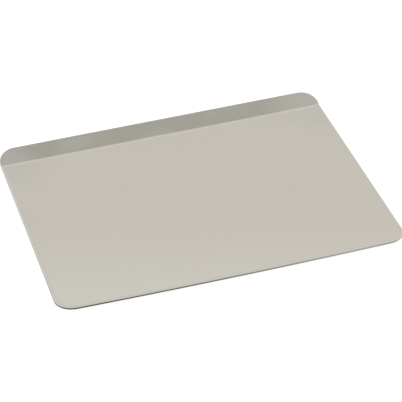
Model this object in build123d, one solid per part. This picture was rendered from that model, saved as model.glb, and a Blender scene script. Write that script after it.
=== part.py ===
"""Insulated cookie sheet: two pressed aluminium sheets with a layer of air between them.

The top sheet is the flat baking surface. Its back margin is bent up as a lip to hold, and its whole edge is
rolled under in a closed hem. The bottom sheet is a shallow tray. Its flange is caught in that hem, and its
raised dimples keep the two sheets apart.

Frame: millimetres, +X along the long side, +Y towards the lip, +Z up. The origin is the centre of the
footprint, on the surface that the tray rests on.
"""

from build123d import *
from math import asin, atan, cos, degrees, radians, sin, tan
import os

# Whole sheet
sheet_length = 406.4
sheet_depth = 355.6
front_corner_radius = 22.5
front_bow = 2.9

# Lip
lip_width = 25.5
lip_angle = 22.0
lip_corner_radius = 21.5
fold_radius = 5.0

# Sheet metal
top_thickness = 0.8
bottom_thickness = 0.6
air_gap = 3.0
seam_clearance = 0.05

# Hem: the rolloff is where the edge rounds down, and the seam is where the flange is caught
rolloff_width = 4.0
edge_drop = 0.15
flange_clearance = 0.2
seam_width = 3.8

# Tray pressed into the bottom sheet
hem_margin = 4.0
fold_margin = 6.0
wall_angle = 45.0
tightest_tray_corner = 8.0

# Dimples
dimple_columns = 5
dimple_rows = 4
dimple_margin = 38.0
dimple_top_radius = 2.5
dimple_angle = 40.0

# Heights, worked out from the layers
tray_flange_top = bottom_thickness + air_gap
plate_top = tray_flange_top + seam_clearance + top_thickness
flange_depth = top_thickness + seam_clearance
hem_thickness = top_thickness + seam_clearance + bottom_thickness + seam_clearance + top_thickness

# Widths, measured inwards from the edge of the sheet
flange_inset = rolloff_width + flange_clearance
hem_width = flange_inset + seam_width
tray_inset = hem_width + hem_margin

# Rolled edge: a wide, shallow arc falls away from the flat, and a tight one turns under from there
edge_radius = (hem_thickness - edge_drop) / 2
half_rolloff_angle = atan(edge_drop / (rolloff_width - edge_radius))
rolloff_angle = degrees(2 * half_rolloff_angle)
rolloff_radius = edge_radius + (rolloff_width - edge_radius) / sin(2 * half_rolloff_angle)

# The front edge bows out between its corners, in plan
side_x = sheet_length / 2
front_y = -sheet_depth / 2
bow_radius = sheet_length**2 / (8 * front_bow)
half_bow_angle = asin((side_x - front_corner_radius) / (bow_radius - front_corner_radius))
front_corner_y = front_y + bow_radius - (bow_radius - front_corner_radius) * cos(half_bow_angle)
bow_angle = degrees(2 * half_bow_angle)
front_corner_angle = 90 - bow_angle / 2

# The lip, in side view. Its rolled edge is round, so it reaches a little past the end of its top surface
lip_slope = radians(lip_angle)
lip_flat = lip_width - fold_radius * tan(lip_slope / 2)
edge_reach = edge_radius * (1 - cos(lip_slope)) + (hem_thickness - edge_radius) * sin(lip_slope)
lip_edge_y = sheet_depth / 2 - edge_reach
fold_y = lip_edge_y - lip_flat * cos(lip_slope) - fold_radius * sin(lip_slope)
lip_edge_z = plate_top + fold_radius * (1 - cos(lip_slope)) + lip_flat * sin(lip_slope)
lip_corner = min(lip_corner_radius, lip_flat - top_thickness)


def surface_line(inset, depth):
    """Side view of the sheet at one depth below its top surface: flat, fold and lip."""
    level = plate_top - depth
    flat = Line((front_y + inset, level), (fold_y, level))
    bend = JernArc(start=flat @ 1, tangent=flat % 1, radius=fold_radius + depth, arc_size=lip_angle)
    lip = PolarLine(bend @ 1, lip_flat - inset, lip_angle)
    return [flat, bend, lip]


def ribbon(upper, lower):
    """The face between two lines that run side by side."""
    starts = Line(upper[0] @ 0, lower[0] @ 0)
    ends = Line(upper[-1] @ 1, lower[-1] @ 1)
    return make_face(upper + [ends] + lower + [starts])


def bowed_plan(inset):
    """Plan of the sheet with its bowed front edge and front corners, cut back by inset."""
    left = Line((inset - side_x, side_x), (inset - side_x, front_corner_y))
    left_corner = JernArc(left @ 1, left % 1, front_corner_radius - inset, front_corner_angle)
    front = JernArc(left_corner @ 1, left_corner % 1, bow_radius - inset, bow_angle)
    right_corner = JernArc(front @ 1, front % 1, front_corner_radius - inset, front_corner_angle)
    right = Line(right_corner @ 1, (side_x - inset, side_x))
    back = Line(right @ 1, left @ 0)
    return make_face([left, left_corner, front, right_corner, right, back])


def folded_blank(inset, depth, thickness):
    """A sheet with the fold, the lip and rounded corners, cut back by inset from the whole edge."""
    side_view = ribbon(surface_line(inset, depth), surface_line(inset, depth + thickness))
    folded = extrude(Plane.YZ * side_view, amount=side_x - inset, both=True)
    front_trim = extrude(bowed_plan(inset), amount=sheet_depth, both=True)

    lip_plane = Plane(
        origin=(0, lip_edge_y, lip_edge_z),
        x_dir=(1, 0, 0),
        z_dir=(0, -sin(lip_slope), cos(lip_slope)),
    )
    outline = Pos(0, -inset - sheet_depth / 2) * Rectangle(sheet_length - 2 * inset, sheet_depth)
    outline = fillet(outline.vertices().sort_by(Axis.Y)[-2:], lip_corner - inset)
    lip_trim = extrude(lip_plane * outline, amount=sheet_depth, both=True)
    return folded & front_trim & lip_trim


def straight(section, length):
    """A section carried straight on, and the step to its far end."""
    return extrude(section, amount=length), Pos(0, 0, length)


def turn(section, radius, angle):
    """A section carried round a turn of the outline. Its x points outwards."""
    centre = Pos(-radius, 0, 0)
    solid = revolve(section, Axis((-radius, 0, 0), (0, -1, 0)), angle)
    return solid, centre * Rot(0, -angle, 0) * centre.inverse()


def fold(section, radius, angle):
    """A section carried round the fold at the foot of the lip. Its y points up."""
    centre = Pos(0, radius, 0)
    solid = revolve(section, Axis((0, radius, 0), (-1, 0, 0)), angle)
    return solid, centre * Rot(-angle, 0, 0) * centre.inverse()


def carried_round(start, stretches):
    """The solids of a section carried along its stretches, one after the other."""
    place = start
    solids = []
    for solid, step in stretches:
        solids.append(place * solid)
        place = place * step
    return solids


def start_at(x, y, z):
    """Where a section starts on its way round: on the right side, facing out, and travelling to the front."""
    return Plane(origin=(x, y, z), x_dir=(1, 0, 0), z_dir=(0, -1, 0)).location


def hem_section():
    """Section of the rolled edge. Its outermost point is at x = 0, and the flange lies in its slot."""
    rolloff = JernArc((-rolloff_width, 0), (1, 0), rolloff_radius, -rolloff_angle)
    edge = JernArc(rolloff @ 1, rolloff % 1, edge_radius, rolloff_angle - 180)
    leaf = Line(edge @ 1, (-hem_width, -hem_thickness))
    slot_start = (-rolloff_width, -top_thickness)
    slot_floor = top_thickness - hem_thickness
    slot_top = JernArc(slot_start, (1, 0), rolloff_radius - top_thickness, -rolloff_angle)
    slot_end = Line(slot_top @ 1, ((slot_top @ 1).X, slot_floor))
    slot_side = Line(slot_end @ 1, (-hem_width, slot_floor))
    return ribbon([rolloff, edge, leaf], [slot_top, slot_end, slot_side])


def hem():
    """The rolled edge, carried round the front corners, up the folds and round the corners of the lip."""
    section = hem_section()
    front_turn = turn(section, front_corner_radius, front_corner_angle)
    bowed_front = turn(section, bow_radius, bow_angle)
    flat_side = straight(section, fold_y - front_corner_y)
    climb = fold(section, fold_radius, lip_angle)
    lip_side = straight(section, lip_flat - lip_corner)
    lip_turn = turn(section, lip_corner, 90)
    back = straight(section, sheet_length - 2 * lip_corner)
    stretches = [front_turn, bowed_front, front_turn, flat_side, climb, lip_side]
    stretches += [lip_turn, back, lip_turn, lip_side, climb, flat_side]
    return carried_round(start_at(side_x, front_corner_y, plate_top), stretches)


def make_top_sheet():
    """The baking surface with its lip, and the hem round its whole edge."""
    return folded_blank(rolloff_width, 0, top_thickness).fuse(*hem()).clean()


def bend_shift(angle):
    """How far a bend in the bottom sheet lies further in on its upper side than on its lower side."""
    return bottom_thickness * tan(radians(angle) / 2)


def step_reach(angle):
    """Width of a bent step, from the start of its upper bend to the end of its lower one."""
    return air_gap / tan(radians(angle)) + bend_shift(angle)


def step_section(angle):
    """Section of a bent step in the bottom sheet, from the origin down by the air gap, towards -x."""
    reach = step_reach(angle)
    shift = bend_shift(angle)
    floor = -air_gap - bottom_thickness
    upper = Polyline((0, 0), (-shift, 0), (-reach, -air_gap))
    lower = Polyline((0, -bottom_thickness), (shift - reach, floor), (-reach, floor))
    return ribbon([upper], [lower])


def rounded_plate(length, depth, radius):
    """A flat plate of the bottom sheet's metal with rounded corners, standing on its plane."""
    plan = RectangleRounded(length, depth, radius)
    return extrude(plan, amount=bottom_thickness)


def tray_wall(length, depth, radius):
    """The sloping wall round a tray of that size, measured at its top."""
    section = step_section(wall_angle)
    tray_turn = turn(section, radius, 90)
    long_run = straight(section, length - 2 * radius)
    short_run = straight(section, depth - 2 * radius)
    start = start_at(length / 2, radius - depth / 2, tray_flange_top)
    return carried_round(start, 2 * [tray_turn, long_run, tray_turn, short_run])


def make_dimple():
    """A round stand-off, raised from the tray's base until it all but touches the top sheet."""
    side = Pos(dimple_top_radius, tray_flange_top) * mirror(step_section(dimple_angle), about=Plane.YZ)
    crown = Rectangle(dimple_top_radius, bottom_thickness, align=(Align.MIN, Align.MAX))
    profile = side + Pos(0, tray_flange_top) * crown
    return revolve(Plane.XZ * profile, Axis.Z)


def tray_base(length, depth, radius):
    """The flat base of the tray, with its grid of dimples."""
    x_pitch = (length - 2 * dimple_margin) / (dimple_columns - 1)
    y_pitch = (depth - 2 * dimple_margin) / (dimple_rows - 1)
    foot_radius = dimple_top_radius + step_reach(dimple_angle)
    hole = Cylinder(foot_radius, bottom_thickness, align=(Align.CENTER, Align.CENTER, Align.MIN))
    dimple = make_dimple()
    places = GridLocations(x_pitch, y_pitch, dimple_columns, dimple_rows).locations
    base = rounded_plate(length, depth, radius) - [place * hole for place in places]
    return [base] + [place * dimple for place in places]


def make_bottom_sheet():
    """The flange that is caught in the hem, and the tray that hangs from it."""
    length = sheet_length - 2 * tray_inset
    tray_front_y = front_y + front_bow + tray_inset
    depth = fold_y - fold_margin - tray_front_y
    radius = max(front_corner_radius - tray_inset, tightest_tray_corner)
    centre = Pos(0, tray_front_y + depth / 2)
    flange = folded_blank(flange_inset, flange_depth, bottom_thickness)
    flange -= centre * Pos(0, 0, air_gap) * rounded_plate(length, depth, radius)

    reach = step_reach(wall_angle)
    tray = tray_wall(length, depth, radius)
    tray += tray_base(length - 2 * reach, depth - 2 * reach, radius - reach)
    return flange.fuse(*[centre * piece for piece in tray]).clean()


def build_parts():
    """Writes each sheet to its own file."""
    os.makedirs("parts", exist_ok=True)
    export_step(make_top_sheet(), "parts/top_sheet.step")
    export_step(make_bottom_sheet(), "parts/bottom_sheet.step")


build_parts()
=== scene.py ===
"""Double-walled aluminium cookie sheet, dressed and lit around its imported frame.

Lengths are metres in the frame's own axes: +X along the long side, +Y towards the lip, +Z up.
"""

from math import asin, atan, cos, pi, radians, sin, tan

import bmesh
import bpy
from bpy.props import FloatProperty, FloatVectorProperty, IntProperty, PointerProperty
from mathutils import Matrix, Vector


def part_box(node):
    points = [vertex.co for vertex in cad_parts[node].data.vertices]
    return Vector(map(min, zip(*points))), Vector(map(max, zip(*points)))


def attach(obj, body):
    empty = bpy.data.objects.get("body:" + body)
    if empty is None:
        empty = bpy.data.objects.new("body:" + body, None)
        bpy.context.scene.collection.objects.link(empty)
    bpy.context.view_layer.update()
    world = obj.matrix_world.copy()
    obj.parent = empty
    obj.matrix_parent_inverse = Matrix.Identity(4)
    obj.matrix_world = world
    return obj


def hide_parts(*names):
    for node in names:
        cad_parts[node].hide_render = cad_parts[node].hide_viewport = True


bl_info = {
    "name": "Cookie Sheet",
    "version": (1, 0, 0),
    "blender": (4, 5, 0),
    "location": "3D View > Sidebar > Cookie Sheet",
    "description": "A double-walled aluminium cookie sheet with a rolled edge and a lip",
    "category": "Add Mesh",
}

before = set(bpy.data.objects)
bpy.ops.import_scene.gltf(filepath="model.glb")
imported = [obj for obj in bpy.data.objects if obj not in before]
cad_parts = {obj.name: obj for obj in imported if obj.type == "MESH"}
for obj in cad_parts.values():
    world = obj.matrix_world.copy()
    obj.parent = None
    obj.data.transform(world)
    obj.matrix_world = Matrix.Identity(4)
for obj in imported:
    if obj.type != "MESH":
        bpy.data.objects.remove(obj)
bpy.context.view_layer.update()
sheet_low, sheet_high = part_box("top_sheet")

PHOTO_SIDE = 402
SENSOR_WIDTH = 36.0
MM = 0.001
# From the floor's middle to its edges, wide enough that low views don't look past it
FLOOR_REACH = 20.0

# How finely the round stretches are divided
BOW_STEPS = 24
CORNER_STEPS = 24
FOLD_STEPS = 12
ROLLOFF_STEPS = 10
EDGE_STEPS = 28
BEND_STEPS = 6
DIMPLE_SIDES = 48

# Narrow strips of flat metal beside the round ones, which keep the wide flats evenly shaded
SUPPORT = 0.3 * MM
BEND_SUPPORT = 1.5 * MM

# Corners that turn by more than this keep a hard line
SHARP_TURN = radians(50)
# Vertices that are closer than this become one
MERGE_DISTANCE = 0.01 * MM

# The attribute that tells how far a vertex has come over the edge: 0 where it is still this far inside
# the edge, 1 on the edge, and more underneath
EDGE_RUN = "edge_run"
NEAR_EDGE = 5.0 * MM


def linear(hex_colour):
    """An sRGB hex colour as linear RGBA."""
    parts = [int(hex_colour[i : i + 2], 16) / 255 for i in (0, 2, 4)]
    return tuple(p / 12.92 if p <= 0.04045 else ((p + 0.055) / 1.055) ** 2.4 for p in parts) + (1.0,)


class SheetSizes(bpy.types.PropertyGroup):
    """Outline, lip and rolled edge of the top sheet"""

    sheet_length: FloatProperty(
        name="Length",
        description="Overall length, along the lip",
        default=round(sheet_high.x - sheet_low.x, 4),
        unit="LENGTH",
    )
    sheet_depth: FloatProperty(
        name="Depth",
        description="Overall depth, from the front edge to the lip's edge",
        default=round(sheet_high.y - sheet_low.y, 4),
        unit="LENGTH",
    )
    plate_top: FloatProperty(
        name="Surface height",
        description="Height of the baking surface above what the sheet stands on",
        default=4.45 * MM,
        unit="LENGTH",
    )
    front_corner: FloatProperty(
        name="Front corner radius",
        description="Radius of the two front corners",
        default=22.5 * MM,
        unit="LENGTH",
    )
    front_bow: FloatProperty(
        name="Front bow",
        description="How far the front edge bows out between its corners",
        default=2.9 * MM,
        unit="LENGTH",
    )
    lip_width: FloatProperty(
        name="Lip width",
        description="Width of the lip, from its fold to its edge",
        default=25.5 * MM,
        unit="LENGTH",
    )
    lip_angle: FloatProperty(
        name="Lip angle",
        description="Angle that the lip is bent up by",
        default=radians(22),
        unit="ROTATION",
    )
    lip_corner: FloatProperty(
        name="Lip corner radius",
        description="Radius of the lip's two corners",
        default=21.5 * MM,
        unit="LENGTH",
    )
    fold_radius: FloatProperty(
        name="Fold radius",
        description="Radius of the bend at the foot of the lip",
        default=5.0 * MM,
        unit="LENGTH",
    )
    thickness: FloatProperty(
        name="Top gauge",
        description="Thickness of the top sheet's metal",
        default=0.8 * MM,
        unit="LENGTH",
    )
    hem_thickness: FloatProperty(
        name="Rolled edge thickness",
        description="Thickness of the closed hem",
        default=2.3 * MM,
        unit="LENGTH",
    )
    hem_width: FloatProperty(
        name="Rolled edge width",
        description="How far the hem reaches in under the sheet",
        default=8.0 * MM,
        unit="LENGTH",
    )
    rolloff_width: FloatProperty(
        name="Rolloff width",
        description="Width of the margin that rounds down to the edge",
        default=4.0 * MM,
        unit="LENGTH",
    )
    edge_drop: FloatProperty(
        name="Edge drop",
        description="How far the margin has come down where it turns under",
        default=0.15 * MM,
        unit="LENGTH",
    )


class TraySizes(bpy.types.PropertyGroup):
    """Flange, tray and dimples of the bottom sheet"""

    thickness: FloatProperty(
        name="Bottom gauge",
        description="Thickness of the bottom sheet's metal",
        default=0.6 * MM,
        unit="LENGTH",
    )
    flange_inset: FloatProperty(
        name="Flange inset",
        description="Distance from the sheet's edge to the flange's edge inside the hem",
        default=4.2 * MM,
        unit="LENGTH",
    )
    seam_clearance: FloatProperty(
        name="Seam clearance",
        description="Clearance between the flange and the hem",
        default=0.05 * MM,
        unit="LENGTH",
    )
    air_gap: FloatProperty(
        name="Air gap",
        description="Height of the layer of air between the sheets",
        default=3.0 * MM,
        unit="LENGTH",
    )
    tray_inset: FloatProperty(
        name="Tray inset",
        description="Distance from the sheet's edge to the tray",
        default=12.0 * MM,
        unit="LENGTH",
    )
    fold_margin: FloatProperty(
        name="Fold margin",
        description="Distance from the tray to the fold of the lip",
        default=6.0 * MM,
        unit="LENGTH",
    )
    wall_angle: FloatProperty(
        name="Wall angle",
        description="Slope of the tray's wall",
        default=radians(45),
        unit="ROTATION",
    )
    bend_radius: FloatProperty(
        name="Bend radius",
        description="Inner radius of the pressed bends",
        default=0.8 * MM,
        unit="LENGTH",
    )
    dimple_columns: IntProperty(
        name="Dimple columns",
        description="Dimples along the tray",
        default=5,
    )
    dimple_rows: IntProperty(
        name="Dimple rows",
        description="Dimples from front to back",
        default=4,
    )
    dimple_margin: FloatProperty(
        name="Dimple margin",
        description="Distance from the flat base's edge to the outermost dimples",
        default=38.0 * MM,
        unit="LENGTH",
    )
    dimple_top: FloatProperty(
        name="Dimple top radius",
        description="Radius of a dimple's flat top",
        default=2.5 * MM,
        unit="LENGTH",
    )
    dimple_angle: FloatProperty(
        name="Dimple slope",
        description="Slope of a dimple's side",
        default=radians(40),
        unit="ROTATION",
    )


class MetalFinish(bpy.types.PropertyGroup):
    """Colour and surface of the aluminium"""

    metal_colour: FloatVectorProperty(
        name="Metal colour",
        description="Clean aluminium",
        default=linear("C6C1B7"),
        size=4,
        subtype="COLOR",
    )
    # Paler towards the front left, and a painted highlight along the foot of the fold
    pale_and_highlight_colour: FloatVectorProperty(
        name="Pale and highlight colour",
        description="Paler aluminium towards the front left, and the painted highlight along the foot of the fold",
        default=linear("CBC8BE"),
        size=4,
        subtype="COLOR",
    )
    # Darker towards the far corners
    far_corner_colour: FloatVectorProperty(
        name="Far corner colour",
        description="Darker aluminium, towards the far corners",
        default=linear("C0BDB5"),
        size=4,
        subtype="COLOR",
    )
    pale_lip_colour: FloatVectorProperty(
        name="Pale lip colour",
        description="Paler aluminium, in clouds on the lip and towards its ends",
        default=linear("D3D0C8"),
        size=4,
        subtype="COLOR",
    )
    # Painted shade in a faint line just inside the rolled edge
    crease_shade_colour: FloatVectorProperty(
        name="Crease colour",
        description="Painted shade in a faint line just inside the rolled edge",
        default=linear("C1BDB3"),
        size=4,
        subtype="COLOR",
    )
    # A painted highlight over the burnished rolled edge
    rim_highlight_colour: FloatVectorProperty(
        name="Rim colour",
        description="A painted highlight over the aluminium that the rolling tool has burnished, along the edge",
        default=linear("C7C5BD"),
        size=4,
        subtype="COLOR",
    )
    # Painted shade under the rolled edge, darkest at the front left
    under_shade_colour: FloatVectorProperty(
        name="Underside colour",
        description="Painted shade on the underside of the rolled edge, most of it at the front left",
        default=linear("45423D"),
        size=4,
        subtype="COLOR",
    )
    roughness: FloatProperty(
        name="Roughness",
        description="Roughness of the rolled surface",
        default=0.28,
        min=0.0,
        max=1.0,
        subtype="FACTOR",
    )
    burnish: FloatProperty(
        name="Burnish",
        description="How much less rough the rolled edge is than the rest",
        default=0.13,
        min=0.0,
        max=1.0,
        subtype="FACTOR",
    )
    cloud_size: FloatProperty(
        name="Cloud size",
        description="Distance between the pale clouds in the oxide",
        default=83.3 * MM,
        unit="LENGTH",
    )
    wave_length: FloatProperty(
        name="Wave length",
        description="Length of the sheet's slight waves",
        default=50.0 * MM,
        unit="LENGTH",
    )
    waviness: FloatProperty(
        name="Waviness",
        description="Height of the sheet's slight waves",
        default=0.4 * MM,
        unit="LENGTH",
    )
    grain_spacing: FloatProperty(
        name="Grain spacing",
        description="Distance between the fine lines of the rolling grain",
        default=0.8 * MM,
        unit="LENGTH",
    )
    grain_length: FloatProperty(
        name="Grain length",
        description="Length of the lines of the rolling grain",
        default=40.0 * MM,
        unit="LENGTH",
    )
    grain_height: FloatProperty(
        name="Grain height",
        description="Height of the lines of the rolling grain, which show at a quarter of it",
        default=0.02 * MM,
        precision=5,
        unit="LENGTH",
    )


class StudioSettings(bpy.types.PropertyGroup):
    """Camera and light"""

    azimuth: FloatProperty(
        name="Azimuth",
        description="How far the camera stands to the left of the sheet's front",
        default=radians(12.979),
        unit="ROTATION",
    )
    elevation: FloatProperty(
        name="Elevation",
        description="How steeply the camera looks down",
        default=radians(31.850),
        unit="ROTATION",
    )
    roll: FloatProperty(
        name="Roll",
        description="How far the camera is turned about its own line of sight",
        default=radians(4.480),
        unit="ROTATION",
    )
    distance: FloatProperty(
        name="Distance",
        description="From the camera to the middle of the sheet",
        default=2.6475,
        unit="LENGTH",
    )
    focal_pixels: FloatProperty(
        name="Focal length in pixels",
        description="The lens, as the distance in pixels at which the photograph spans its view",
        default=2252.3,
    )
    aim_right: FloatProperty(
        name="Aim right",
        description="How far to the right of the sheet's middle the camera aims",
        default=7.12 * MM,
        unit="LENGTH",
    )
    aim_down: FloatProperty(
        name="Aim down",
        description="How far below the sheet's middle the camera aims",
        default=5.33 * MM,
        unit="LENGTH",
    )
    room_light: FloatProperty(
        name="Room light",
        description="Strength of the light that comes from the room",
        default=1.08,
    )
    floor_white: FloatProperty(
        name="Floor white",
        description="What is added to the lit floor where the camera or the metal sees it",
        default=0.9,
    )


class SheetShape:
    """Where the lines of the top sheet run, worked out from its sizes."""

    def __init__(self, sizes):
        self.sizes = sizes
        self.side_x = sizes.sheet_length / 2
        self.front_y = -sizes.sheet_depth / 2
        self.plate_top = sizes.plate_top
        self.fold_radius = sizes.fold_radius
        self.lip_angle = sizes.lip_angle

        corner = sizes.front_corner
        self.bow_radius = sizes.sheet_length**2 / (8 * sizes.front_bow)
        self.half_bow = asin((self.side_x - corner) / (self.bow_radius - corner))
        self.corner_run = self.bow_radius - (self.bow_radius - corner) * cos(self.half_bow)

        self.edge_radius = (sizes.hem_thickness - sizes.edge_drop) / 2
        half_rolloff = atan(sizes.edge_drop / (sizes.rolloff_width - self.edge_radius))
        self.rolloff_angle = 2 * half_rolloff
        rolloff_reach = sizes.rolloff_width - self.edge_radius
        self.rolloff_radius = self.edge_radius + rolloff_reach / sin(self.rolloff_angle)

        lip_flat = sizes.lip_width - sizes.fold_radius * tan(sizes.lip_angle / 2)
        reach = self.edge_radius * (1 - cos(sizes.lip_angle))
        reach += (sizes.hem_thickness - self.edge_radius) * sin(sizes.lip_angle)
        fold_reach = lip_flat * cos(sizes.lip_angle) + sizes.fold_radius * sin(sizes.lip_angle)
        self.flat_run = sizes.sheet_depth - reach - fold_reach
        self.fold_y = self.front_y + self.flat_run
        self.bend_end = self.flat_run + sizes.fold_radius * sizes.lip_angle
        self.whole_run = self.bend_end + lip_flat

    def place(self, x, run, height):
        """The point at x, run along the sheet from its front edge, and above its top surface."""
        bend = min(max((run - self.flat_run) / self.fold_radius, 0), self.lip_angle)
        past = max(run - self.bend_end, 0)
        y = self.front_y + min(run, self.flat_run) + (self.fold_radius - height) * sin(bend)
        z = self.plate_top + self.fold_radius - (self.fold_radius - height) * cos(bend)
        return Vector((x, y + past * cos(bend), z + past * sin(bend)))

    def half_outline(self):
        """The right half of the sheet's edge, from the front's middle to the lip's back."""
        sizes = self.sizes
        stations = arc_stations(0, self.bow_radius, self.bow_radius, 0, self.half_bow, BOW_STEPS)[:-1]
        corner_x = self.side_x - sizes.front_corner
        front = (corner_x, self.corner_run, sizes.front_corner)
        stations += arc_stations(*front, self.half_bow, pi / 2, CORNER_STEPS)
        runs = [self.flat_run - SUPPORT]
        runs += steps_between(self.flat_run, self.bend_end, FOLD_STEPS)
        runs += [self.bend_end + SUPPORT]
        stations += [(self.side_x, run, 1, 0) for run in runs]
        lip = (self.side_x - sizes.lip_corner, self.whole_run - sizes.lip_corner, sizes.lip_corner)
        return stations + arc_stations(*lip, pi / 2, pi, CORNER_STEPS)


def steps_between(start, end, steps):
    """Evenly spaced values from start to end."""
    return [start + (end - start) * i / steps for i in range(steps + 1)]


def arc_stations(centre_x, centre_y, radius, start, end, steps):
    """Points on an arc with their outward directions. The angle starts at the front, towards +X."""
    turns = steps_between(start, end, steps)
    outs = [(sin(turn), -cos(turn)) for turn in turns]
    return [(centre_x + radius * x, centre_y + radius * y, x, y) for x, y in outs]


def mirrored(half):
    """The whole outline from its right half: the left half runs back to the front."""
    return half + [(-x, y, -out_x, out_y) for x, y, out_x, out_y in reversed(half[1:])]


def bent_line(points, radii):
    """A line through the points, with its corners bent to these radii."""
    points = [Vector(point) for point in points]
    line = [points[0]]
    for before, corner, after, radius in zip(points, points[1:], points[2:], radii):
        back = (before - corner).normalized()
        ahead = (after - corner).normalized()
        half = back.angle(ahead) / 2
        centre = corner + (back + ahead).normalized() * radius / sin(half)
        spoke = corner + back * radius / tan(half) - centre
        turn = (pi - 2 * half) * (1 if ahead.cross(back) > 0 else -1)
        line += [centre + Matrix.Rotation(part, 2) @ spoke for part in steps_between(0, turn, BEND_STEPS)]
    return line + [points[-1]]


def hem_profile(shape):
    """Section of the rolled edge, outwards over the top, round and back in under it, then the slot."""
    sizes = shape.sizes
    start = -sizes.rolloff_width
    profile = [(start - SUPPORT, 0)]
    for turn in steps_between(0, shape.rolloff_angle, ROLLOFF_STEPS):
        profile.append((start + shape.rolloff_radius * sin(turn), -shape.rolloff_radius * (1 - cos(turn))))
    centre_depth = sizes.hem_thickness - shape.edge_radius
    for turn in steps_between(shape.rolloff_angle, pi, EDGE_STEPS)[1:]:
        out = shape.edge_radius * (sin(turn) - 1)
        profile.append((out, shape.edge_radius * cos(turn) - centre_depth))
    slot_floor = sizes.thickness - sizes.hem_thickness
    leaf_end = [(-sizes.rolloff_width, -sizes.hem_thickness)]
    leaf_end += [(-sizes.hem_width, -sizes.hem_thickness), (-sizes.hem_width, slot_floor)]
    leaf_end += [(-sizes.rolloff_width, slot_floor)]
    leaf_bend = sizes.thickness / 4
    profile += [tuple(point) for point in bent_line(leaf_end, [leaf_bend, leaf_bend])[1:-1]]
    inner = shape.rolloff_radius - sizes.thickness
    slot = []
    for turn in steps_between(shape.rolloff_angle, 0, ROLLOFF_STEPS):
        slot.append((start + inner * sin(turn), -sizes.thickness - inner * (1 - cos(turn))))
    return profile + [(slot[0][0], slot_floor)] + slot + [(start - SUPPORT, -sizes.thickness)]


def join_rings(mesh, first, second):
    """Faces between two closed lines of vertices."""
    for i, corner in enumerate(first):
        mesh.faces.new((first[i - 1], corner, second[i], second[i - 1]))


def fill_across(mesh, ring, first=0):
    """Faces across a mirrored line of vertices, from side to side, from this vertex on."""
    half = (len(ring) + 1) // 2
    pairs = [(ring[i], ring[-i]) for i in range(first, half)]
    for (right, left), (next_right, next_left) in zip(pairs, pairs[1:]):
        corners = (right, next_right, next_left, left)
        mesh.faces.new(corners[:3] if right is left else corners)


def fill_plate(mesh, *loops):
    """A flat plate with its holes, between closed lines of vertices."""
    edges = []
    for loop in loops:
        for i, corner in enumerate(loop):
            pair = (loop[i - 1], corner)
            edges.append(mesh.edges.get(pair) or mesh.edges.new(pair))
    bmesh.ops.triangle_fill(mesh, use_beauty=True, edges=edges)


def finished_object(name, mesh, material):
    """The object of a finished mesh, smooth but for its sharp corners."""
    data = bpy.data.meshes.new(name)
    mesh.to_mesh(data)
    mesh.free()
    data.materials.append(material)
    data.shade_smooth()
    data.set_sharp_from_angle(angle=SHARP_TURN)
    made = bpy.data.objects.new(name, data)
    bpy.context.scene.collection.objects.link(made)
    return made


def baked(made):
    """The mesh that an object's modifiers give, with the modifiers removed."""
    bpy.context.view_layer.update()
    result = bpy.data.meshes.new_from_object(made.evaluated_get(bpy.context.evaluated_depsgraph_get()))
    made.modifiers.clear()
    return result


def add_node(tree, kind, settings=None, inputs=None):
    """Adds a node, sets it up, and gives its inputs their values or links."""
    node = tree.nodes.new(kind)
    for name, value in (settings or {}).items():
        setattr(node, name, value)
    for name, value in (inputs or {}).items():
        if isinstance(value, bpy.types.NodeSocket):
            tree.links.new(value, node.inputs[name])
        else:
            node.inputs[name].default_value = value
    return node


def new_material(name):
    """An empty node material, and its tree."""
    material = bpy.data.materials.new(name)
    material.use_nodes = True
    material.node_tree.nodes.clear()
    return material, material.node_tree


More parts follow.
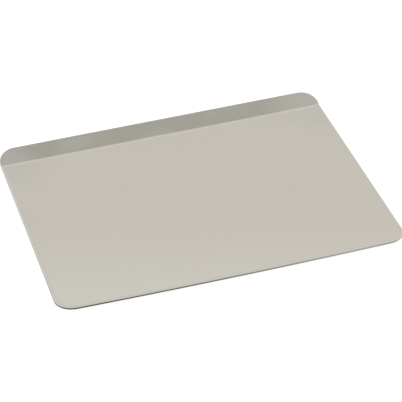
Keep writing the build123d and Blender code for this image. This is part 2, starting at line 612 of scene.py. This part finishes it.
def rolled_aluminium(name, finish, fold_y, duller):
    """Bare rolled aluminium sheet with a satin finish.

    The rolls leave fine lines along the sheet, so highlights spread a little across them. The grain is drawn
    a few times coarser than the real one. The sheet isn't quite flat: long, shallow waves show where it
    mirrors a change of light. It is paler towards the front left and darker towards the far corners, and a
    painted highlight runs along the foot of the fold. The rolled edge is burnished, with a painted highlight
    over it and a painted shade line just inside it. The lip is cloudy, and lighter right over its rolled edge
    at both ends. Painted shade darkens the underside of the rolled edge, more so at the front and most at
    the front left.
    """
    material, tree = new_material(name)
    place = add_node(tree, "ShaderNodeTexCoord").outputs["Object"]
    parts = add_node(tree, "ShaderNodeSeparateXYZ", inputs={0: place}).outputs
    edge = add_node(tree, "ShaderNodeAttribute", {"attribute_name": EDGE_RUN}).outputs["Fac"]
    along, across = 1 / finish.grain_length, 1 / finish.grain_spacing
    lines = add_node(tree, "ShaderNodeMapping", inputs={"Vector": place, "Scale": (along, across, across)})
    values = {"x": parts["X"], "y": parts["Y"], "edge": edge}
    for pattern, vector, scale, detail in (
        ("grain", lines.outputs[0], 1.0, 3.0),
        ("clouds", place, 1 / finish.cloud_size, 2.0),
        ("waves", place, 1 / finish.wave_length, 1.0),
    ):
        noise = add_node(
            tree,
            "ShaderNodeTexNoise",
            inputs={"Vector": vector, "Scale": scale, "Detail": detail},
        )
        values[pattern] = noise.outputs["Fac"]

    # Where a point is and how rough the metal is there, with one Math node for each line. The clouds make the
    # borders of the paler and the darker metal drift, and the roughness change by up to 0.04 either way.
    for result, operation, *operands in (
        ("drift", "MULTIPLY_ADD", "clouds", 100 * MM, -50 * MM),
        ("leftwards", "MULTIPLY_ADD", "x", -0.3, "drift"),
        ("front_left", "MULTIPLY_ADD", "y", -1.0, "leftwards"),
        ("aside", "ABSOLUTE", "x"),
        ("outwards", "ADD", "aside", "drift"),
        ("far_corner", "MULTIPLY_ADD", "y", 0.5, "outwards"),
        ("from_fold", "SUBTRACT", "y", fold_y),
        ("lip", "GREATER_THAN", "from_fold", 0.05 * MM),
        ("cloudy_lip", "MULTIPLY", "lip", "clouds"),
        ("rightwards", "MULTIPLY_ADD", "x", 0.1, "aside"),
        ("lip_end", "MULTIPLY", "lip", "rightwards"),
        # These lines shape the painted shade under the rolled edge: darker towards the front, and the further
        # from 140 mm right of the middle
        ("from_right", "SUBTRACT", "x", 140 * MM),
        ("both_ways", "ABSOLUTE", "from_right"),
        ("under_ends", "MULTIPLY_ADD", "both_ways", 0.2, "edge"),
        ("under", "MULTIPLY_ADD", "y", -0.4, "under_ends"),
        ("burnished", "GREATER_THAN", "edge", 0.65),
        ("polish", "MULTIPLY_ADD", "burnished", -finish.burnish, finish.roughness + duller - 0.04),
        ("cloudy", "MULTIPLY_ADD", "clouds", 0.08, "polish"),
        ("roughness", "MULTIPLY_ADD", "grain", 0.05, "cloudy"),
    ):
        inputs = {i: values.get(operand, operand) for i, operand in enumerate(operands)}
        values[result] = add_node(tree, "ShaderNodeMath", {"operation": operation}, inputs).outputs[0]

    # Patches of other colours, each over those before it, with the value that it goes by, where it starts,
    # where it is full, and how strong it is there
    colour = finish.metal_colour
    for value, start, end, strength, patch in (
        # Paler towards the front left
        ("front_left", 60 * MM, 230 * MM, 1.0, finish.pale_and_highlight_colour),
        # Darker towards the far corners
        ("far_corner", 190 * MM, 290 * MM, 1.0, finish.far_corner_colour),
        # A painted highlight along the foot of the fold, fading back to the plain metal over the fold
        ("from_fold", -5.15 * MM, -2.15 * MM, 0.8, finish.pale_and_highlight_colour),
        ("from_fold", -1.65 * MM, 1.35 * MM, 1.0, finish.metal_colour),
        ("cloudy_lip", 0.42, 0.66, 0.7, finish.pale_lip_colour),
        # Painted shade in a faint line where the margin starts to round down to the rolled edge
        ("edge", 0.14, 0.26, 1.0, finish.crease_shade_colour),
        # A painted highlight over the burnished rolled edge, which is also less rough
        ("edge", 0.3, 0.5, 1.0, finish.rim_highlight_colour),
        # Lighter towards both ends of the lip, most at the right
        ("lip_end", 140 * MM, 200 * MM, 1.0, finish.pale_lip_colour),
        # Painted shade on the underside of the rolled edge, darkest at the front left
        ("under", 1.023, 1.123, 1.0, finish.under_shade_colour),
    ):
        share = add_node(
            tree,
            "ShaderNodeMapRange",
            {"interpolation_type": "SMOOTHSTEP"},
            {0: values[value], 1: start, 2: end, 4: strength},
        )
        mix = add_node(
            tree,
            "ShaderNodeMix",
            {"data_type": "RGBA"},
            {"Factor": share.outputs[0], 6: colour, 7: patch},
        )
        colour = mix.outputs[2]

    wavy = add_node(
        tree,
        "ShaderNodeBump",
        inputs={"Strength": 1.0, "Distance": finish.waviness, "Height": values["waves"]},
    )
    lined = add_node(
        tree,
        "ShaderNodeBump",
        inputs={
            "Strength": 0.25,
            "Distance": finish.grain_height,
            "Height": values["grain"],
            "Normal": wavy.outputs[0],
        },
    )
    metal = add_node(
        tree,
        "ShaderNodeBsdfPrincipled",
        inputs={
            "Base Color": colour,
            "Metallic": 1.0,
            "Roughness": values["roughness"],
            "Normal": lined.outputs[0],
        },
    )
    add_node(tree, "ShaderNodeOutputMaterial", inputs={"Surface": metal.outputs[0]})
    return material


def studio_floor_material(glow):
    """Pale matt board. The camera and the metal see it white, and it still takes the sheet's shadow."""
    material, tree = new_material("matt_white_board")
    rays = add_node(tree, "ShaderNodeLightPath").outputs
    shown = add_node(
        tree,
        "ShaderNodeMath",
        {"operation": "MAXIMUM"},
        {0: rays["Is Glossy Ray"], 1: rays["Is Transmission Ray"]},
    )
    shown = add_node(
        tree,
        "ShaderNodeMath",
        {"operation": "MAXIMUM"},
        {0: rays["Is Camera Ray"], 1: shown.outputs[0]},
    )
    white = add_node(tree, "ShaderNodeMath", {"operation": "MULTIPLY"}, {0: shown.outputs[0], 1: glow})
    board = add_node(tree, "ShaderNodeBsdfDiffuse", inputs={"Color": linear("A0A0A0")})
    lit = add_node(tree, "ShaderNodeEmission", inputs={"Strength": white.outputs[0]})
    both = add_node(tree, "ShaderNodeAddShader", inputs={0: board.outputs[0], 1: lit.outputs[0]})
    add_node(tree, "ShaderNodeOutputMaterial", inputs={"Surface": both.outputs[0]})
    return material


def studio_world(strength):
    """Soft light from a room that is white behind the sheet, and light grey above it and round the camera.

    The flat metal mirrors the white wall, the bent lip the ceiling, and the rolled front edge the camera's
    side.
    """
    world = bpy.data.worlds.new("studio_room")
    world.use_nodes = True
    tree = world.node_tree
    tree.nodes.clear()
    direction = add_node(tree, "ShaderNodeTexCoord").outputs["Generated"]
    parts = add_node(tree, "ShaderNodeSeparateXYZ", inputs={0: direction}).outputs
    shades = {}
    # Each shade goes from one colour to the next as the direction rises, or as it turns towards the back
    for name, axis, start, end, first, second in (
        ("wall", "Z", 0.15, 0.65, "DCDCDC", "FFFFFF"),
        ("above", "Z", 0.72, 0.87, "wall", "C7C8C5"),
        ("room", "Y", -0.8, -0.4, "D0D0D0", "above"),
    ):
        share = add_node(
            tree,
            "ShaderNodeMapRange",
            {"interpolation_type": "SMOOTHSTEP"},
            {0: parts[axis], 1: start, 2: end},
        )
        mix = add_node(
            tree,
            "ShaderNodeMix",
            {"data_type": "RGBA"},
            {
                "Factor": share.outputs[0],
                6: shades.get(first) or linear(first),
                7: shades.get(second) or linear(second),
            },
        )
        shades[name] = mix.outputs[2]
    light = add_node(tree, "ShaderNodeBackground", inputs={"Color": shades["room"], "Strength": strength})
    add_node(tree, "ShaderNodeOutputWorld", inputs={"Surface": light.outputs[0]})
    return world


class COOKIESHEET_OT_top_sheet(bpy.types.Operator):
    """Build the baking surface with its lip and rolled edge"""

    bl_idname = "cookie_sheet.top_sheet"
    bl_label = "Top Sheet"
    bl_options = {"REGISTER", "UNDO"}

    def execute(self, context):
        shape = SheetShape(context.scene.sheet_sizes)
        outline = mirrored(shape.half_outline())
        mesh = bmesh.new()
        edge_run = mesh.verts.layers.float.new(EDGE_RUN)
        rings = []
        under = shape.edge_radius - shape.sizes.hem_thickness
        for out, height in hem_profile(shape):
            places = [shape.place(x + out * dx, run + out * dy, height) for x, run, dx, dy in outline]
            rings.append([mesh.verts.new(place) for place in places])
            for corner in rings[-1]:
                corner[edge_run] = 1 - out / NEAR_EDGE if height < under else max(1 + out / NEAR_EDGE, 0)
        for first, second in zip(rings, rings[1:]):
            join_rings(mesh, first, second)
        fill_across(mesh, rings[0])
        fill_across(mesh, rings[-1])
        bmesh.ops.recalc_face_normals(mesh, faces=mesh.faces)
        metal = rolled_aluminium("rolled_aluminium_satin", context.scene.metal_finish, shape.fold_y, 0.0)
        sheet = finished_object("baking_sheet", mesh, metal)
        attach(sheet, "root")
        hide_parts("top_sheet")
        return {"FINISHED"}


def tray_outline(shape, tray):
    """The tray's edge: its half length, half depth, corner radius and the y of its middle."""
    front = shape.front_y + shape.sizes.front_bow + tray.tray_inset
    back = shape.fold_y - tray.fold_margin
    radius = shape.sizes.front_corner - tray.tray_inset
    return shape.side_x - tray.tray_inset, (back - front) / 2, radius, (front + back) / 2


def tray_stations(half_length, half_depth, radius, middle):
    """Stations round a rectangle with rounded corners."""
    stations = []
    signs = ((1, -1), (1, 1), (-1, 1), (-1, -1))
    for quarter, (side, end) in enumerate(signs):
        centre = (side * (half_length - radius), middle + end * (half_depth - radius))
        stations += arc_stations(*centre, radius, quarter * pi / 2, (quarter + 1) * pi / 2, CORNER_STEPS)
    return stations


def dimple_profile(tray):
    """Underside of a dimple, from its foot to its flat top, as radius and height."""
    slope = tray.air_gap / tan(tray.dimple_angle)
    foot = tray.dimple_top + slope
    line = [(foot + BEND_SUPPORT, 0), (foot, 0), (tray.dimple_top, tray.air_gap), (0, tray.air_gap)]
    return bent_line(line, [tray.bend_radius + tray.thickness, tray.bend_radius])


def dimple_grid_tree(material):
    """Geometry nodes that set one dimple on every place of a grid."""
    tree = bpy.data.node_groups.new("dimple_grid", "GeometryNodeTree")
    sockets = {}
    tree.interface.new_socket("Geometry", in_out="INPUT", socket_type="NodeSocketGeometry")
    for name, kind in (
        ("Columns", "NodeSocketInt"),
        ("Rows", "NodeSocketInt"),
        ("Column spacing", "NodeSocketFloat"),
        ("Row spacing", "NodeSocketFloat"),
        ("Middle", "NodeSocketVector"),
    ):
        sockets[name] = tree.interface.new_socket(name, in_out="INPUT", socket_type=kind).identifier
    tree.interface.new_socket("Geometry", in_out="OUTPUT", socket_type="NodeSocketGeometry")
    given = add_node(tree, "NodeGroupInput").outputs
    spans = []
    for count, spacing in (("Columns", "Column spacing"), ("Rows", "Row spacing")):
        gaps = add_node(tree, "ShaderNodeMath", {"operation": "SUBTRACT"}, {0: given[count], 1: 1.0})
        span = add_node(
            tree,
            "ShaderNodeMath",
            {"operation": "MULTIPLY"},
            {0: gaps.outputs[0], 1: given[spacing]},
        )
        spans.append(span.outputs[0])
    grid = add_node(
        tree,
        "GeometryNodeMeshGrid",
        inputs={
            "Size X": spans[0],
            "Size Y": spans[1],
            "Vertices X": given["Columns"],
            "Vertices Y": given["Rows"],
        },
    )
    moved = add_node(
        tree,
        "GeometryNodeTransform",
        inputs={"Geometry": grid.outputs["Mesh"], "Translation": given["Middle"]},
    )
    dimples = add_node(
        tree,
        "GeometryNodeInstanceOnPoints",
        inputs={"Points": moved.outputs[0], "Instance": given["Geometry"]},
    )
    real = add_node(tree, "GeometryNodeRealizeInstances", inputs={"Geometry": dimples.outputs[0]})
    painted = add_node(
        tree,
        "GeometryNodeSetMaterial",
        inputs={"Geometry": real.outputs[0], "Material": material},
    )
    add_node(tree, "NodeGroupOutput", inputs={0: painted.outputs[0]})
    return tree, sockets


def dimple_field(tray, grid, material):
    """Every dimple of the tray as one mesh, set out by geometry nodes."""
    mesh = bmesh.new()
    turns = [2 * pi * i / DIMPLE_SIDES for i in range(DIMPLE_SIDES)]
    rings = []
    for radius, height in dimple_profile(tray)[:-1]:
        places = [(radius * cos(turn), radius * sin(turn), height) for turn in turns]
        rings.append([mesh.verts.new(place) for place in places])
    for first, second in zip(rings, rings[1:]):
        join_rings(mesh, first, second)
    mesh.faces.new(rings[-1])
    dimple = finished_object("dimple", mesh, material)

    tree, sockets = dimple_grid_tree(material)
    modifier = dimple.modifiers.new("dimple_grid", "NODES")
    modifier.node_group = tree
    for name, value in grid.items():
        modifier[sockets[name]] = value
    field = baked(dimple)
    bpy.data.objects.remove(dimple)
    return field


class COOKIESHEET_OT_bottom_sheet(bpy.types.Operator):
    """Build the shallow tray with its dimples and the flange that the rolled edge holds"""

    bl_idname = "cookie_sheet.bottom_sheet"
    bl_label = "Bottom Sheet"
    bl_options = {"REGISTER", "UNDO"}

    def execute(self, context):
        shape = SheetShape(context.scene.sheet_sizes)
        tray = context.scene.tray_sizes
        metal = rolled_aluminium("rolled_aluminium_mill", context.scene.metal_finish, shape.fold_y, 0.04)
        mesh = bmesh.new()

        # Underside of the flange, up the fold and under the lip
        half = shape.half_outline()
        depth = shape.sizes.thickness + tray.seam_clearance + tray.thickness
        outline = mirrored(half)
        inset = -tray.flange_inset
        places = [shape.place(x + inset * dx, run + inset * dy, -depth) for x, run, dx, dy in outline]
        flange = [mesh.verts.new(place) for place in places]
        fold = next(i for i, station in enumerate(half) if station[1] >= shape.flat_run)
        fill_across(mesh, flange, fold)

        # The tray's wall, down from the flange to the base
        half_length, half_depth, radius, middle = tray_outline(shape, tray)
        level = shape.plate_top - depth
        slope = level / tan(tray.wall_angle)
        wall = [(BEND_SUPPORT, level), (0, level), (-slope, 0), (-slope - BEND_SUPPORT, 0)]
        stations = tray_stations(half_length, half_depth, radius, middle)
        rings = []
        for out, height in bent_line(wall, [tray.bend_radius, tray.bend_radius + tray.thickness]):
            places = [(x + out * dx, y + out * dy, height) for x, y, dx, dy in stations]
            rings.append([mesh.verts.new(place) for place in places])
        for first, second in zip(rings, rings[1:]):
            join_rings(mesh, first, second)
        flat_flange = flange[: fold + 1] + flange[-fold:]
        fill_plate(mesh, flat_flange, rings[0])

        # The base, with a round hole for every dimple
        shift = tray.thickness * tan(tray.wall_angle / 2)
        base_length = 2 * (half_length - slope - shift)
        base_depth = 2 * (half_depth - slope - shift)
        column_spacing = (base_length - 2 * tray.dimple_margin) / (tray.dimple_columns - 1)
        row_spacing = (base_depth - 2 * tray.dimple_margin) / (tray.dimple_rows - 1)
        foot = dimple_profile(tray)[0][0]
        turns = [2 * pi * i / DIMPLE_SIDES for i in range(DIMPLE_SIDES)]
        holes = []
        for column in range(tray.dimple_columns):
            x = (column - (tray.dimple_columns - 1) / 2) * column_spacing
            for row in range(tray.dimple_rows):
                y = middle + (row - (tray.dimple_rows - 1) / 2) * row_spacing
                holes.append([mesh.verts.new((x + foot * cos(t), y + foot * sin(t), 0)) for t in turns])
        fill_plate(mesh, rings[-1], *holes)

        grid = {
            "Columns": tray.dimple_columns,
            "Rows": tray.dimple_rows,
            "Column spacing": column_spacing,
            "Row spacing": row_spacing,
            "Middle": (0.0, middle, 0.0),
        }
        mesh.from_mesh(dimple_field(tray, grid, metal))
        bmesh.ops.remove_doubles(mesh, verts=mesh.verts, dist=MERGE_DISTANCE)
        bmesh.ops.recalc_face_normals(mesh, faces=mesh.faces)
        base = min(mesh.faces, key=lambda face: face.calc_center_median().z)
        if base.normal.z > 0:
            bmesh.ops.reverse_faces(mesh, faces=mesh.faces)
        sheet = finished_object("insulating_tray", mesh, metal)
        metal_gauge = sheet.modifiers.new("metal_gauge", "SOLIDIFY")
        metal_gauge.thickness = tray.thickness
        metal_gauge.offset = -1.0
        metal_gauge.use_even_offset = True
        sheet.data = baked(sheet)
        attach(sheet, "root")
        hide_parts("bottom_sheet")
        return {"FINISHED"}


class COOKIESHEET_OT_studio(bpy.types.Operator):
    """Set up the floor, the light and the camera"""

    bl_idname = "cookie_sheet.studio"
    bl_label = "Studio"
    bl_options = {"REGISTER", "UNDO"}

    def execute(self, context):
        scene = context.scene
        studio = scene.studio_settings
        scene.view_settings.view_transform = "Standard"
        scene.world = studio_world(studio.room_light)

        mesh = bmesh.new()
        signs = ((-1, -1), (1, -1), (1, 1), (-1, 1))
        mesh.faces.new([mesh.verts.new((FLOOR_REACH * x, FLOOR_REACH * y, 0)) for x, y in signs])
        floor = finished_object("studio_floor", mesh, studio_floor_material(studio.floor_white))

        # The camera looks along forward, with its picture turned about that line by the roll
        level = Vector((cos(studio.azimuth), -sin(studio.azimuth), 0))
        ahead = Vector((sin(studio.azimuth), cos(studio.azimuth), 0))
        forward = cos(studio.elevation) * ahead + Vector((0, 0, -sin(studio.elevation)))
        down = forward.cross(level)
        right = cos(studio.roll) * level + sin(studio.roll) * down
        down = forward.cross(right)
        middle = Vector((0, 0, scene.sheet_sizes.plate_top))
        aim = middle + studio.aim_right * right + studio.aim_down * down
        place = aim - studio.distance * forward
        lens = bpy.data.cameras.new("camera")
        lens.sensor_width = SENSOR_WIDTH
        lens.lens = studio.focal_pixels * SENSOR_WIDTH / PHOTO_SIDE
        camera = bpy.data.objects.new("camera", lens)
        turned = Matrix((right, -down, -forward)).transposed().to_4x4()
        camera.matrix_world = Matrix.Translation(place) @ turned
        scene.collection.objects.link(camera)
        scene.camera = camera
        return {"FINISHED"}


class COOKIESHEET_PT_panel(bpy.types.Panel):
    """The cookie sheet's sizes, finish and studio"""

    bl_label = "Cookie Sheet"
    bl_idname = "COOKIESHEET_PT_panel"
    bl_space_type = "VIEW_3D"
    bl_region_type = "UI"
    bl_category = "Cookie Sheet"

    def draw(self, context):
        layout = self.layout
        for group, operator in (
            ("sheet_sizes", COOKIESHEET_OT_top_sheet),
            ("tray_sizes", COOKIESHEET_OT_bottom_sheet),
            ("metal_finish", None),
            ("studio_settings", COOKIESHEET_OT_studio),
        ):
            box = layout.box()
            settings = getattr(context.scene, group)
            for name in settings.__annotations__:
                box.prop(settings, name)
            if operator:
                box.operator(operator.bl_idname)


GROUPS = {
    "sheet_sizes": SheetSizes,
    "tray_sizes": TraySizes,
    "metal_finish": MetalFinish,
    "studio_settings": StudioSettings,
}
OPERATORS = (COOKIESHEET_OT_top_sheet, COOKIESHEET_OT_bottom_sheet, COOKIESHEET_OT_studio)


def register():
    for group in GROUPS.values():
        bpy.utils.register_class(group)
    for operator in OPERATORS:
        bpy.utils.register_class(operator)
    bpy.utils.register_class(COOKIESHEET_PT_panel)
    for name, group in GROUPS.items():
        setattr(bpy.types.Scene, name, PointerProperty(type=group))


def unregister():
    for name in GROUPS:
        delattr(bpy.types.Scene, name)
    bpy.utils.unregister_class(COOKIESHEET_PT_panel)
    for operator in reversed(OPERATORS):
        bpy.utils.unregister_class(operator)
    for group in reversed(GROUPS.values()):
        bpy.utils.unregister_class(group)


def main():
    """Build the sheet and its studio."""
    register()
    bpy.ops.cookie_sheet.top_sheet()
    bpy.ops.cookie_sheet.bottom_sheet()
    bpy.ops.cookie_sheet.studio()


if __name__ == "__main__":
    main()
